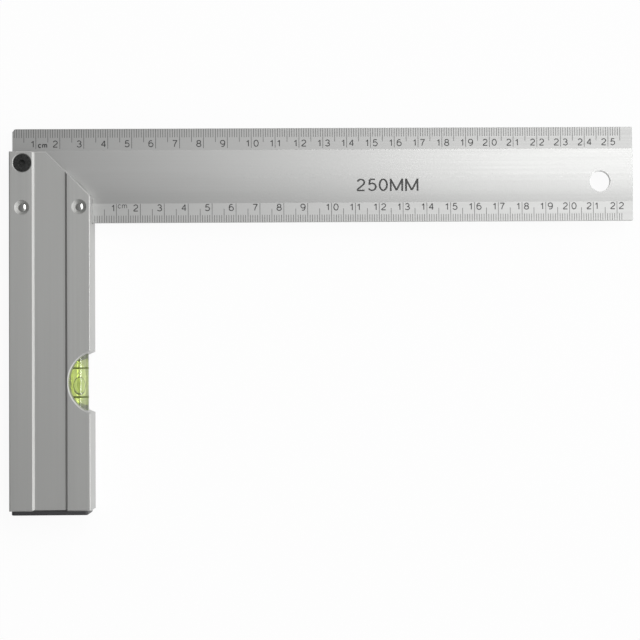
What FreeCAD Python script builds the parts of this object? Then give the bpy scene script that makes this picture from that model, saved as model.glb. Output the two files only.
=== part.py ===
import FreeCAD, Part
import os
import Sketcher

# Carpenter square: an extruded aluminium stock with a slotted head, a crowned aluminium blade
# riveted into the slot, a squaring screw, a spirit vial in a half-round pocket and an end cap.
#
# Frame: the origin is the inside corner of the square, at mid-thickness. X runs along the blade,
# Y from the blade's inner edge to its outer edge, Z from the plain back to the ruled front.

DIMENSIONS = [
    # Stock, an extruded bar with a shallow panel down both faces
    ("stock_width", 33.5, "across the stock, along X"),
    ("stock_thickness", 18.0, "front to back"),
    ("stock_below", 119.3, "inside corner down to the capped end"),
    ("stock_above", 29.2, "inside corner up to the open end"),
    ("stock_round", 0.5, "long edges of the extrusion"),
    ("panel_margin", 9.5, "side of the stock to the panel's rim"),
    ("panel_depth", 0.95, "face down to the panel, with 45 degree flanks"),
    ("port_diameter", 7.6, "round channels along both sides"),
    ("port_inset", 5.4, "side of the stock to a channel's axis"),
    ("chamber_width", 11.1, "middle channel, along X"),
    ("chamber_height", 12.4, "middle channel, along Z"),
    ("chamber_round", 1.0, "corners of the middle channel"),
    ("mitre_start", 10.8, "inside corner up to the foot of the 45 degree face"),
    ("slot_gap", 2.9, "blade slot, front to back"),
    ("slot_relief", 0.3, "slot floor below the blade's edge"),
    ("pocket_radius", 13.3, "half-round window for the vial"),
    ("pocket_outset", 4.1, "centre of the window outside the inner face"),
    ("pocket_below", 66.35, "inside corner down to the centre of the window"),
    # Blade, a flat strip with a ruled band along each edge and a crowned middle
    ("blade_length", 260.0, "end to end"),
    ("blade_width", 39.5, "inner edge to outer edge"),
    ("blade_setback", 0.2, "blade's end inside the stock's outer side"),
    ("band_thickness", 1.6, "ruled bands"),
    ("crown_thickness", 2.8, "middle of the crown"),
    ("inner_band", 8.1, "width of the band on the inner edge"),
    ("outer_band", 9.1, "width of the band on the outer edge"),
    ("corner_cut", 1.2, "bevelled corner over the stock"),
    ("end_ease", 0.3, "broken corners of the free end"),
    ("hang_hole", 8.7, "diameter of the hanging hole"),
    ("hang_from_end", 13.8, "free end to the hanging hole"),
    ("hang_up", 16.6, "inner edge up to the hanging hole"),
    # Scales, engraved as fine V grooves in the front bands
    ("mark_width", 0.22, "groove across its mouth"),
    ("mark_depth", 0.08, "groove"),
    ("mark_rise", 0.1, "outline of the cut above the band"),
    ("mark_start", 0.15, "blade's edge to the near end of each groove"),
    ("outer_unit", 4.2, "blade's edge to the far end of a millimetre mark, outer scale"),
    ("outer_five", 5.7, "the same, five millimetre marks"),
    ("outer_ten", 8.2, "the same, centimetre marks"),
    ("outer_reading", 255, "last mark of the outer scale"),
    ("inner_unit", 3.1, "blade's edge to the far end of a millimetre mark, inner scale"),
    ("inner_five", 5.7, "the same, five millimetre marks"),
    ("inner_ten", 7.95, "the same, centimetre marks"),
    ("inner_reading", 222, "last mark of the inner scale"),
    # Rivets, with a countersunk head at the back, peened to a low dome in a countersink in front
    ("rivet_shank", 3.2, "diameter"),
    ("rivet_hole", 3.3, "diameter"),
    ("rivet_sink", 6.2, "mouth of the 90 degree countersinks"),
    ("rivet_dome", 0.3, "height of the peened dome above the foot of its countersink"),
    ("outer_rivet_in", 5.3, "stock's outer side to the outer rivet"),
    ("outer_rivet_up", 5.9, "inside corner up to the outer rivet"),
    ("inner_rivet_in", 4.6, "stock's inner face to the inner rivet"),
    ("inner_rivet_up", 6.1, "inside corner up to the inner rivet"),
    # Squaring screw, a countersunk socket screw tapped into the back cheek
    ("screw_size", 4.0, "thread diameter"),
    ("screw_length", 16.0, "with its head"),
    ("screw_head", 7.2, "head diameter"),
    ("screw_rim", 0.25, "upright rim of the head"),
    ("screw_sunk", 0.2, "stock's face down to the head"),
    ("screw_key", 2.5, "across the flats of the socket"),
    ("screw_key_depth", 1.4, "socket depth"),
    ("screw_in", 5.4, "stock's outer side to the screw"),
    ("screw_down", 4.8, "stock's open end down to the screw"),
    ("screw_play", 4.4, "clearance hole in the front cheek"),
    ("screw_sink", 8.1, "mouth of its 90 degree countersink"),
    ("screw_slack", 5.2, "hole in the blade, which lets it swing while it is set"),
    ("screw_tap_depth", 7.5, "mid-plane down to the end of the tapped hole"),
    # End cap, a moulded plug
    ("cap_thickness", 1.7, "flange"),
    ("cap_outer_inset", 0.9, "flange inside the stock's outer side"),
    ("cap_inner_inset", 1.2, "flange inside the stock's inner face"),
    ("cap_face_inset", 0.5, "flange inside the stock's front and back"),
    ("cap_round", 1.2, "corners of the flange"),
    ("cap_ease", 0.4, "bevel round the flange's outer rim"),
    ("cap_tongue", 9.0, "length of the tongue in the middle channel"),
    ("cap_tongue_wall", 1.6, "wall of the hollow tongue"),
    ("cap_tongue_bevel", 1.0, "corners of the tongue"),
    ("cap_fit", 0.1, "clearance round the tongue"),
    # Vial, a clear tube with a straight bore, closed by a plug
    ("vial_below", 66.55, "inside corner down to the middle of the vial"),
    ("vial_diameter", 7.4, "outside"),
    ("vial_length", 34.0, "end to end"),
    ("vial_bore", 5.8, "inside"),
    ("vial_wall", 1.5, "closed end"),
    ("vial_plug", 3.0, "length of the plug"),
    ("bubble_length", 7.6, "along the vial"),
    ("bubble_width", 4.4, "diameter of the round that hollows the liquid"),
    ("bubble_depth", 1.7, "below the top of the bore"),
    ("bubble_drift", 1.35, "bubble towards the capped end"),
    ("stop_diameter", 7.5, "rubber stop beside the vial"),
    ("stop_length", 4.0, "rubber stop"),
    ("slip", 0.02, "clearance where curved faces meet"),
]

SHEET = "dims"
DECADE = 10  # marks in one repeat of a scale

doc = FreeCAD.newDocument("carpenter_square")


def make_sheet():
    """The driving dimensions: a name, a value with its alias, and a note in each row."""
    sheet = doc.addObject("Spreadsheet::Sheet", SHEET)
    for row, (alias, value, note) in enumerate(DIMENSIONS, 1):
        sheet.set("A%d" % row, alias)
        sheet.set("B%d" % row, str(value))
        sheet.set("C%d" % row, note)
        sheet.setAlias("B%d" % row, alias)
    doc.recompute()


def bind(item, prop, formula):
    """Tie a property to a formula of the sheet's cells."""
    item.setExpression(prop, formula)


def value_of(item, formula):
    """The formula's present value, used only to place geometry near where it will be solved."""
    return float(item.evalExpression(formula))


def dimension(item, kind, first, second, name, formula):
    """A named sketch dimension bound to a formula."""
    size = value_of(item, formula)
    index = item.addConstraint(Sketcher.Constraint(kind, *first, *second, size))
    item.renameConstraint(index, name)
    bind(item, "Constraints." + name, formula)


def new_body(label, x="0", y="0", z="0"):
    """A body with its own label, placed by formulas."""
    body = doc.addObject("PartDesign::Body", label)
    body.Label = label
    for axis, formula in zip("xyz", (x, y, z)):
        bind(body, "Placement.Base." + axis, formula)
    doc.recompute()
    return body


def attach(item, body, role):
    """Lay a sketch or a primitive on one of the body's origin planes."""
    plane = [feature for feature in body.Origin.OriginFeatures if feature.Role == role][0]
    item.AttachmentSupport = [(plane, "")]
    item.MapMode = "FlatFace"


def new_sketch(body, name, role):
    """A sketch on one of the body's origin planes."""
    sketch = body.newObject("Sketcher::SketchObject", name)
    attach(sketch, body, role)
    return sketch


def add_line(sketch, start, end):
    """A straight edge between two points."""
    line = Part.LineSegment(FreeCAD.Vector(*start, 0), FreeCAD.Vector(*end, 0))
    return sketch.addGeometry(line, False)


def add_bulge(sketch, start, end, rise):
    """A shallow arc between two points, standing off to the right of their chord by the rise."""
    a = FreeCAD.Vector(*start, 0)
    b = FreeCAD.Vector(*end, 0)
    side = FreeCAD.Vector(b.y - a.y, a.x - b.x, 0).normalize()
    arc = Part.Arc(a, (a + b) * 0.5 + side * rise, b)
    return sketch.addGeometry(arc, False)


def add_outline(sketch, name, corners, bulges=None):
    """A closed outline. Each corner is held by two dimensions from the origin.

    bulges gives, for an edge's number, the formula of its arc's rise, which only starts the solver
    near its answer, and the dimension and the formula that hold the arc's centre.
    """
    bulges = bulges or {}
    places = [(value_of(sketch, x), value_of(sketch, y)) for x, y in corners]
    edges = []
    tails = []
    for number, place in enumerate(places):
        after = places[(number + 1) % len(places)]
        if number in bulges:
            rise, kind, centre = bulges[number]
            edge = add_bulge(sketch, place, after, value_of(sketch, rise))
            tails.append(start_of_arc(sketch, edge, place))
            dimension(sketch, kind, (-1, 1), (edge, 3), "%s_centre%d" % (name, number), centre)
        else:
            edge = add_line(sketch, place, after)
            tails.append(1)
        edges.append(edge)
    for number, edge in enumerate(edges):
        before = number - 1
        head = 3 - tails[before]
        joint = Sketcher.Constraint("Coincident", edges[before], head, edge, tails[number])
        sketch.addConstraint(joint)
    for number, (x, y) in enumerate(corners):
        point = (edges[number], tails[number])
        dimension(sketch, "DistanceX", (-1, 1), point, "%s_x%d" % (name, number), x)
        dimension(sketch, "DistanceY", (-1, 1), point, "%s_y%d" % (name, number), y)


def start_of_arc(sketch, edge, place):
    """Which end of the arc lies at the place: 1 for its first point, 2 for its last."""
    near = FreeCAD.Vector(*place, 0)
    if sketch.getPoint(edge, 1).distanceToPoint(near) < sketch.getPoint(edge, 2).distanceToPoint(near):
        return 1
    return 2


def add_rectangle(sketch, name, left, right, low, high):
    """A rectangle between two formulas each way."""
    add_outline(sketch, name, [(left, low), (right, low), (right, high), (left, high)])


def add_circle(sketch, name, x, y, diameter):
    """A circle held by its centre and its diameter."""
    centre = FreeCAD.Vector(value_of(sketch, x), value_of(sketch, y), 0)
    radius = value_of(sketch, diameter) / 2
    circle = sketch.addGeometry(Part.Circle(centre, FreeCAD.Vector(0, 0, 1), radius), False)
    dimension(sketch, "Diameter", (circle,), (), name + "_diameter", diameter)
    dimension(sketch, "DistanceX", (-1, 1), (circle, 3), name + "_x", x)
    dimension(sketch, "DistanceY", (-1, 1), (circle, 3), name + "_y", y)


def add_hexagon(sketch, flats):
    """A regular hexagon about the origin, with two corners on the X axis."""
    radius = value_of(sketch, flats) / 3 ** 0.5
    turn = FreeCAD.Rotation(FreeCAD.Vector(0, 0, 1), 60)
    corner = FreeCAD.Vector(radius, 0, 0)
    rim = sketch.addGeometry(Part.Circle(FreeCAD.Vector(), FreeCAD.Vector(0, 0, 1), radius), True)
    sketch.addConstraint(Sketcher.Constraint("Coincident", rim, 3, -1, 1))
    dimension(sketch, "Radius", (rim,), (), "rim_radius", flats + " / sqrt(3)")
    sides = []
    for _ in range(6):
        following = turn.multVec(corner)
        sides.append(add_line(sketch, (corner.x, corner.y), (following.x, following.y)))
        corner = following
    for number, side in enumerate(sides):
        sketch.addConstraint(Sketcher.Constraint("Coincident", sides[number - 1], 2, side, 1))
        sketch.addConstraint(Sketcher.Constraint("PointOnObject", side, 1, rim))
    for side in sides[1:]:
        sketch.addConstraint(Sketcher.Constraint("Equal", sides[0], side))
    sketch.addConstraint(Sketcher.Constraint("PointOnObject", sides[0], 1, -1))


def add_feature(body, kind, name, profile):
    """A sketch-based feature at the tip of the body."""
    feature = body.newObject("PartDesign::" + kind, name)
    feature.Profile = profile
    return feature


def pad(body, sketch, name, ahead, behind=None):
    """Material on the sketch's normal side by one formula, and behind it by another."""
    feature = add_feature(body, "Pad", name, sketch)
    bind(feature, "Length", ahead)
    if behind:
        feature.SideType = "Two sides"
        bind(feature, "Length2", behind)
    doc.recompute()
    return feature


def pad_up(body, sketch, name, length):
    """Material against the sketch's normal."""
    feature = add_feature(body, "Pad", name, sketch)
    feature.Reversed = True
    bind(feature, "Length", length)
    doc.recompute()
    return feature


def cut_through(body, sketch, name):
    """A cut right through the body on both sides of the sketch."""
    feature = add_feature(body, "Pocket", name, sketch)
    feature.SideType = "Symmetric"
    feature.Type = "ThroughAll"
    return finish_cut(body, feature)


def cut_slab(body, sketch, name, thickness):
    """A cut of one thickness, half on each side of the sketch."""
    feature = add_feature(body, "Pocket", name, sketch)
    feature.SideType = "Symmetric"
    bind(feature, "Length", thickness)
    return finish_cut(body, feature)


def cut_one_way(body, sketch, name, depth, forward):
    """A cut from the sketch along its normal, or against it."""
    feature = add_feature(body, "Pocket", name, sketch)
    feature.Reversed = forward
    bind(feature, "Length", depth)
    return finish_cut(body, feature)


def finish_cut(body, feature):
    """Recompute, and make sure that the cut took material away."""
    before = feature.BaseFeature.Shape.Volume
    doc.recompute()
    if feature.Shape.Volume > before - 1e-3:
        raise RuntimeError(body.Label + ": " + feature.Name + " cuts nothing")
    return feature


def turn_about_y(body, sketch, name):
    """A solid of revolution about the sketch's vertical axis."""
    feature = add_feature(body, "Revolution", name, sketch)
    feature.ReferenceAxis = (sketch, ["V_Axis"])
    feature.Angle = 360
    doc.recompute()
    return feature


def edges_where(feature, test):
    """The names of the feature's edges that pass the test."""
    return ["Edge%d" % number for number, edge in enumerate(feature.Shape.Edges, 1) if test(edge)]


def dress_edges(body, kind, name, base, edges, size):
    """A fillet or a chamfer of one size on the named edges."""
    feature = body.newObject("PartDesign::" + kind, name)
    feature.Base = (base, edges)
    bind(feature, "Radius" if kind == "Fillet" else "Size", size)
    doc.recompute()
    return feature


def runs_along(edge, axis):
    """True for a straight edge that is parallel to an axis: 0 for X, 1 for Y, 2 for Z."""
    ends = [vertex.Point for vertex in edge.Vertexes]
    if len(ends) < 2 or edge.Curve.TypeId != "Part::GeomLine":
        return False
    spans = [abs(ends[1][index] - ends[0][index]) for index in range(3)]
    return all((span > 1e-6) == (index == axis) for index, span in enumerate(spans))


def make_stock():
    """The extruded bar, mitred at its head, slotted for the blade and cut out for the vial."""
    body = new_body("stock")
    left = "-dims.stock_width"
    middle = "-dims.stock_width / 2"
    face = "dims.stock_thickness / 2"
    floor = "dims.stock_thickness / 2 - dims.panel_depth"
    rim_left = "-dims.stock_width + dims.panel_margin"
    rim_right = "-dims.panel_margin"
    floor_left = rim_left + " + dims.panel_depth"
    floor_right = rim_right + " - dims.panel_depth"
    front = [(rim_left, face), (floor_left, floor), (floor_right, floor), (rim_right, face)]
    back = [(x, "-(" + z + ")") for x, z in reversed(front)]
    ends_right = [("0", face), ("0", "-(" + face + ")")]
    ends_left = [(left, "-(" + face + ")"), (left, face)]

    section = new_sketch(body, "stock_section", "XZ_Plane")
    add_outline(section, "bar", front + ends_right + back + ends_left)
    bar = pad(body, section, "bar", "dims.stock_below", "dims.stock_above")

    def on_rim(edge):
        centre = edge.CenterOfMass
        outer = abs(abs(centre.z) - value_of(body, face)) < 1e-6
        side = min(abs(centre.x), abs(centre.x - value_of(body, left))) < 1e-6
        return runs_along(edge, 1) and outer and side

    dress_edges(body, "Fillet", "bar_rounds", bar, edges_where(bar, on_rim), "dims.stock_round")

    channels = new_sketch(body, "channel_section", "XZ_Plane")
    add_circle(channels, "inner_port", "-dims.port_inset", "0", "dims.port_diameter")
    add_circle(channels, "outer_port", left + " + dims.port_inset", "0", "dims.port_diameter")
    half = "dims.chamber_width / 2"
    high = "dims.chamber_height / 2"
    add_rectangle(channels, "chamber", middle + " - " + half, middle + " + " + half, "-" + high, high)
    hollow = cut_through(body, channels, "channels")

    def in_chamber(edge):
        centre = edge.CenterOfMass
        across = abs(abs(centre.x - value_of(body, middle)) - value_of(body, half)) < 1e-6
        return runs_along(edge, 1) and across and abs(abs(centre.z) - value_of(body, high)) < 1e-6

    corners = edges_where(hollow, in_chamber)
    dress_edges(body, "Fillet", "chamber_rounds", hollow, corners, "dims.chamber_round")

    mitre = new_sketch(body, "mitre_line", "XY_Plane")
    run = "dims.stock_above - dims.mitre_start"
    top = "dims.stock_above"
    add_outline(mitre, "waste", [("0", "dims.mitre_start"), ("0", top), ("-(" + run + ")", top)])
    cut_through(body, mitre, "mitre")

    slot = new_sketch(body, "slot_section", "XY_Plane")
    add_rectangle(slot, "slot", left, "0", "-dims.slot_relief", "dims.stock_above")
    cut_slab(body, slot, "blade_slot", "dims.slot_gap")

    window = new_sketch(body, "window_line", "XY_Plane")
    size = "2 * dims.pocket_radius"
    add_circle(window, "window", "dims.pocket_outset", "-dims.pocket_below", size)
    cut_through(body, window, "vial_window")

    rivets = new_sketch(body, "rivet_holes_line", "XY_Plane")
    outer_x = left + " + dims.outer_rivet_in"
    add_circle(rivets, "outer", outer_x, "dims.outer_rivet_up", "dims.rivet_hole")
    add_circle(rivets, "inner", "-dims.inner_rivet_in", "dims.inner_rivet_up", "dims.rivet_hole")
    cut_through(body, rivets, "rivet_holes")

    screw_x = left + " + dims.screw_in"
    screw_y = "dims.stock_above - dims.screw_down"
    play = new_sketch(body, "screw_play_line", "XY_Plane")
    add_circle(play, "play", screw_x, screw_y, "dims.screw_play")
    cut_one_way(body, play, "screw_play_hole", "dims.stock_thickness", True)
    tapped = new_sketch(body, "screw_tap_line", "XY_Plane")
    add_circle(tapped, "tapped", screw_x, screw_y, "dims.screw_size + 2 * dims.slip")
    cut_one_way(body, tapped, "screw_tapped_hole", "dims.screw_tap_depth", False)

    countersink(body, "rivet_sinks", "dims.rivet_hole", "dims.rivet_sink")
    countersink(body, "screw_sink", "dims.screw_play", "dims.screw_sink")
    return body


def countersink(body, name, hole, mouth):
    """A 90 degree countersink at each end of the stock's holes of one diameter, front and back."""
    drilled = body.Tip
    radius = value_of(body, hole) / 2
    face = value_of(body, "dims.stock_thickness / 2")

    def is_mouth(edge):
        round_edge = edge.Curve.TypeId == "Part::GeomCircle"
        on_face = abs(abs(edge.CenterOfMass.z) - face) < 1e-6
        return round_edge and on_face and abs(edge.Curve.Radius - radius) < 1e-6

    size = "(" + mouth + " - " + hole + ") / 2"
    dress_edges(body, "Chamfer", name, drilled, edges_where(drilled, is_mouth), size)


def engrave_marks(body, name, places, level, edge, inward, reach):
    """V grooves across a band, one at each place along the blade, from its edge inwards.

    inward is 1 on the blade's inner edge and -1 on its outer edge.
    """
    slope = "dims.mark_width / 2 / dims.mark_depth"
    half = slope + " * (dims.mark_depth + dims.mark_rise)"
    marks = new_sketch(body, name + "_section", "XZ_Plane")
    bind(marks, "AttachmentOffset.Base.z", "-(" + edge + " + %d * dims.mark_start)" % inward)
    for number, place in enumerate(places):
        valley = (place, level + " - dims.mark_depth")
        right = (place + " + " + half, level + " + dims.mark_rise")
        left = (place + " - " + half, level + " + dims.mark_rise")
        add_outline(marks, "mark%d" % number, [valley, right, left])
    return cut_one_way(body, marks, name, reach + " - dims.mark_start", inward < 0)


def first_marks(body, scale, zero, edge, inward):
    """The ten marks of a scale's first centimetre, in two lots with the times each is repeated.

    The marks that the last, part centimetre still holds are repeated once more than the others.
    """
    level = "dims.band_thickness / 2"
    reading = int(value_of(body, "dims." + scale + "_reading"))
    whole, rest = divmod(reading, DECADE)
    lots = []
    for lot, marks, repeats in (
        ("early", range(1, rest + 1), whole + 1),
        ("late", range(rest + 1, DECADE + 1), whole),
    ):
        grooves = []
        for size in ("ten", "five", "unit"):
            places = ["%s + %d" % (zero, mark) for mark in marks if mark_size(mark) == size]
            if places:
                name = "_".join((scale, lot, size))
                reach = "dims." + scale + "_" + size
                grooves.append(engrave_marks(body, name, places, level, edge, inward, reach))
        lots.append((scale + "_" + lot + "_row", grooves, repeats))
    return lots


def mark_size(mark):
    """The kind of mark that stands at a number of millimetres."""
    if mark % DECADE == 0:
        return "ten"
    if mark % (DECADE // 2) == 0:
        return "five"
    return "unit"


def repeat_along(body, name, features, repeats):
    """The features again at every centimetre along X."""
    before = body.Tip.Shape.Volume
    row = body.newObject("PartDesign::LinearPattern", name)
    row.Originals = features
    row.Direction = (features[0].Profile[0], ["H_Axis"])
    row.Mode = "Spacing"
    row.Offset = DECADE
    row.Occurrences = repeats
    row.Refine = False
    body.Tip = row
    doc.recompute()
    if row.Shape.Volume > before - 1e-3:
        raise RuntimeError(name + " cuts nothing")


def make_blade():
    """The ruled strip: two flat bands with a crowned middle between them, on both faces."""
    body = new_body("blade")
    band = "dims.band_thickness / 2"
    foot = "dims.inner_band"
    brow = "dims.blade_width - dims.outer_band"
    rise = "(dims.crown_thickness - dims.band_thickness) / 2"
    chord = "(dims.blade_width - dims.inner_band - dims.outer_band)"
    radius = "(pow(" + chord + "; 2) / (8 * " + rise + ") + " + rise + " / 2)"
    centre = "(dims.crown_thickness / 2 - " + radius + ")"
    front = [("0", band), (foot, band), (brow, band), ("dims.blade_width", band)]
    back = [(y, "-" + z) for y, z in reversed(front)]

    section = new_sketch(body, "blade_section", "YZ_Plane")
    crowns = {1: ("-" + rise, "DistanceY", centre), 5: ("-" + rise, "DistanceY", "-" + centre)}
    add_outline(section, "strip", front + back, crowns)
    reach = "dims.blade_length + dims.blade_setback - dims.stock_width"
    strip = pad(body, section, "strip", reach, "dims.stock_width - dims.blade_setback")

    def corner_over_stock(edge):
        centre = edge.CenterOfMass
        high = abs(centre.y - value_of(body, "dims.blade_width")) < 1e-6
        return runs_along(edge, 2) and high and centre.x < 0

    corner = edges_where(strip, corner_over_stock)
    cut = dress_edges(body, "Chamfer", "corner_bevel", strip, corner, "dims.corner_cut")

    def free_corners(edge):
        return runs_along(edge, 2) and edge.CenterOfMass.x > value_of(body, reach) - 1e-6

    tips = edges_where(cut, free_corners)
    dress_edges(body, "Fillet", "free_end_rounds", cut, tips, "dims.end_ease")

    holes = new_sketch(body, "blade_holes_line", "XY_Plane")
    add_circle(holes, "hang", reach + " - dims.hang_from_end", "dims.hang_up", "dims.hang_hole")
    left = "-dims.stock_width"
    outer_x = left + " + dims.outer_rivet_in"
    screw_y = "dims.stock_above - dims.screw_down"
    add_circle(holes, "outer", outer_x, "dims.outer_rivet_up", "dims.rivet_hole")
    add_circle(holes, "inner", "-dims.inner_rivet_in", "dims.inner_rivet_up", "dims.rivet_hole")
    add_circle(holes, "screw", left + " + dims.screw_in", screw_y, "dims.screw_slack")
    cut_through(body, holes, "blade_holes")

    outer_lots = first_marks(body, "outer", left, "dims.blade_width", -1)
    inner_lots = first_marks(body, "inner", "0", "0", 1)
    for name, grooves, repeats in outer_lots + inner_lots:
        repeat_along(body, name, grooves, repeats)
    return body


def make_rivet(label, x, y):
    """A rivet: a countersunk head flush with the back, and a low dome peened in the front's sink."""
    body = new_body(label, x, y)
    face = "dims.stock_thickness / 2"
    shank = "dims.rivet_shank / 2"
    neck = "-" + face + " + (dims.rivet_sink - dims.rivet_shank) / 2"
    foot = face + " - (dims.rivet_sink - dims.rivet_hole) / 2"
    slant_squared = "(pow(" + shank + "; 2) + pow(dims.rivet_dome; 2))"
    radius = slant_squared + " / (2 * dims.rivet_dome)"
    bulge = radius + " - sqrt(pow(" + radius + "; 2) - " + slant_squared + " / 4)"
    profile = new_sketch(body, label + "_profile", "XZ_Plane")
    corners = [
        ("0", "-" + face),
        ("dims.rivet_sink / 2", "-" + face),
        (shank, neck),
        (shank, foot),
        ("0", foot + " + dims.rivet_dome"),
    ]
    add_outline(profile, "rivet", corners, {3: (bulge, "DistanceX", "0")})
    turn_about_y(body, profile, label + "_turned")
    return body


def make_screw():
    """The squaring screw: a countersunk head with a hexagon socket on a plain shank."""
    x = "-dims.stock_width + dims.screw_in"
    body = new_body("squaring_screw", x, "dims.stock_above - dims.screw_down")
    top = "dims.stock_thickness / 2 - dims.screw_sunk"
    shoulder = top + " - dims.screw_rim"
    neck = shoulder + " - (dims.screw_head - dims.screw_size) / 2"
    tip = top + " - dims.screw_length"
    profile = new_sketch(body, "screw_profile", "XZ_Plane")
    corners = [
        ("0", tip),
        ("dims.screw_size / 2", tip),
        ("dims.screw_size / 2", neck),
        ("dims.screw_head / 2", shoulder),
        ("dims.screw_head / 2", top),
        ("0", top),
    ]
    add_outline(profile, "screw", corners)
    turn_about_y(body, profile, "screw_turned")
    socket = new_sketch(body, "screw_socket_line", "XY_Plane")
    bind(socket, "AttachmentOffset.Base.z", top)
    add_hexagon(socket, "dims.screw_key")
    cut_one_way(body, socket, "screw_socket", "dims.screw_key_depth", False)
    return body


def make_end_cap():
    """The moulded cap: a flange under the stock and a hollow tongue in its middle channel."""
    body = new_body("end_cap", "0", "-dims.stock_below")
    left = "-dims.stock_width"
    middle = "-dims.stock_width / 2"
    depth = "(dims.stock_thickness / 2 - dims.cap_face_inset)"
    flange = new_sketch(body, "flange_line", "XZ_Plane")
    near = left + " + dims.cap_outer_inset"
    add_rectangle(flange, "flange", near, "-dims.cap_inner_inset", "-" + depth, depth)
    plate = pad(body, flange, "flange", "dims.cap_thickness")
    upright = edges_where(plate, lambda edge: runs_along(edge, 1))
    rounded = dress_edges(body, "Fillet", "flange_rounds", plate, upright, "dims.cap_round")

    def outer_rim(edge):
        low = value_of(body, "-dims.cap_thickness")
        return all(abs(vertex.Point.y - low) < 1e-6 for vertex in edge.Vertexes)

    rim = edges_where(rounded, outer_rim)
    dress_edges(body, "Chamfer", "flange_bevel", rounded, rim, "dims.cap_ease")

    tongue = new_sketch(body, "tongue_section", "XZ_Plane")
    half = "(dims.chamber_width / 2 - dims.cap_fit)"
    high = "(dims.chamber_height / 2 - dims.cap_fit)"
    inner_half = "(" + half + " - dims.cap_tongue_wall)"
    inner_high = "(" + high + " - dims.cap_tongue_wall)"
    add_rectangle(tongue, "outside", middle + " - " + half, middle + " + " + half, "-" + high, high)
    inside = (middle + " - " + inner_half, middle + " + " + inner_half, "-" + inner_high, inner_high)
    add_rectangle(tongue, "inside", *inside)
    block = pad_up(body, tongue, "tongue", "dims.cap_tongue")

    def tongue_corners(edge):
        centre = edge.CenterOfMass
        across = abs(abs(centre.x - value_of(body, middle)) - value_of(body, half)) < 1e-6
        return runs_along(edge, 1) and across and centre.y > 0

    corners = edges_where(block, tongue_corners)
    dress_edges(body, "Chamfer", "tongue_bevels", block, corners, "dims.cap_tongue_bevel")
    return body


def vial_body(label, offset="0"):
    """A body on the vial's axis, an offset above the middle of the vial."""
    return new_body(label, "-dims.port_inset", "-dims.vial_below + " + offset)


VIAL_HALF = "dims.vial_length / 2"
BORE_TOP = "(dims.vial_length / 2 - dims.vial_wall)"
BORE_FOOT = "(-dims.vial_length / 2 + dims.vial_plug)"


def make_vial_tube():
    """The clear tube, closed at its upper end."""
    body = vial_body("vial_tube")
    outside = "dims.vial_diameter / 2"
    bore = "dims.vial_bore / 2"
    profile = new_sketch(body, "tube_profile", "XY_Plane")
    corners = [
        ("0", VIAL_HALF),
        ("0", BORE_TOP),
        (bore, BORE_TOP),
        (bore, "-" + VIAL_HALF),
        (outside, "-" + VIAL_HALF),
        (outside, VIAL_HALF),
    ]
    add_outline(profile, "tube", corners)
    turn_about_y(body, profile, "tube_turned")
    return body


def make_vial_plug():
    """The plug glued into the open end of the tube."""
    body = vial_body("vial_plug")
    profile = new_sketch(body, "plug_profile", "XY_Plane")
    radius = "dims.vial_bore / 2 - dims.slip"
    add_rectangle(profile, "plug", "0", radius, "-" + VIAL_HALF, BORE_FOOT + " - dims.slip")
    turn_about_y(body, profile, "plug_turned")
    return body


def make_vial_liquid():
    """The liquid that fills the bore, with the bubble's hollow at the top of it."""
    body = vial_body("vial_liquid")
    radius = "dims.vial_bore / 2 - dims.slip"
    low = BORE_FOOT + " + dims.slip"
    high = BORE_TOP + " - dims.slip"
    profile = new_sketch(body, "liquid_profile", "XY_Plane")
    add_rectangle(profile, "liquid", "0", radius, low, high)
    turn_about_y(body, profile, "liquid_turned")

    hollow = new_sketch(body, "bubble_profile", "XY_Plane")
    bind(hollow, "AttachmentOffset.Base.y", "-dims.bubble_drift")
    height = "dims.vial_bore / 2 - dims.bubble_depth + dims.bubble_width / 2"
    bind(hollow, "AttachmentOffset.Base.z", height)
    end = "dims.bubble_length / 2"
    add_rectangle(hollow, "bubble", "0", "dims.bubble_width / 2", "-" + end, end)
    bubble = add_feature(body, "Groove", "bubble", hollow)
    bubble.ReferenceAxis = (hollow, ["V_Axis"])
    bubble.Angle = 360
    finish_cut(body, bubble)
    return body


def make_vial_stop(label, centre):
    """A rubber stop pressed into the channel at one end of the vial."""
    body = vial_body(label, centre)
    profile = new_sketch(body, label + "_profile", "XY_Plane")
    half = "dims.stop_length / 2"
    add_rectangle(profile, "stop", "0", "dims.stop_diameter / 2", "-" + half, half)
    turn_about_y(body, profile, label + "_turned")
    return body


def check_document(bodies):
    """Stop unless every object is sound and every piece is one valid solid."""
    for item in doc.Objects:
        if "Invalid" in item.State or "Error" in item.State:
            raise RuntimeError(item.Label + " did not recompute")
    for body in bodies:
        shape = body.Shape
        if shape.isNull() or not shape.isValid() or len(shape.Solids) != 1:
            raise RuntimeError(body.Label + " is not one valid solid")


def write_parts(bodies):
    """One STEP file for each piece, named after it."""
    os.makedirs("parts", exist_ok=True)
    for body in bodies:
        body.Shape.exportStep(os.path.join("parts", body.Label + ".step"))
        box = body.Shape.BoundBox
        low = "%.2f %.2f %.2f" % (box.XMin, box.YMin, box.ZMin)
        high = "%.2f %.2f %.2f" % (box.XMax, box.YMax, box.ZMax)
        print("%-18s %10.2f mm3  %s  %s" % (body.Label, body.Shape.Volume, low, high))


make_sheet()
outer_rivet_x = "-dims.stock_width + dims.outer_rivet_in"
stop_offset = VIAL_HALF + " + dims.stop_length / 2 + dims.slip"
pieces = [
    make_stock(),
    make_blade(),
    make_rivet("rivet_outer", outer_rivet_x, "dims.outer_rivet_up"),
    make_rivet("rivet_inner", "-dims.inner_rivet_in", "dims.inner_rivet_up"),
    make_screw(),
    make_end_cap(),
    make_vial_tube(),
    make_vial_plug(),
    make_vial_liquid(),
    make_vial_stop("vial_stop_upper", stop_offset),
    make_vial_stop("vial_stop_lower", "-(" + stop_offset + ")"),
]
doc.recompute()
check_document(pieces)
write_parts(pieces)
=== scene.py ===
import math

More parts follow.
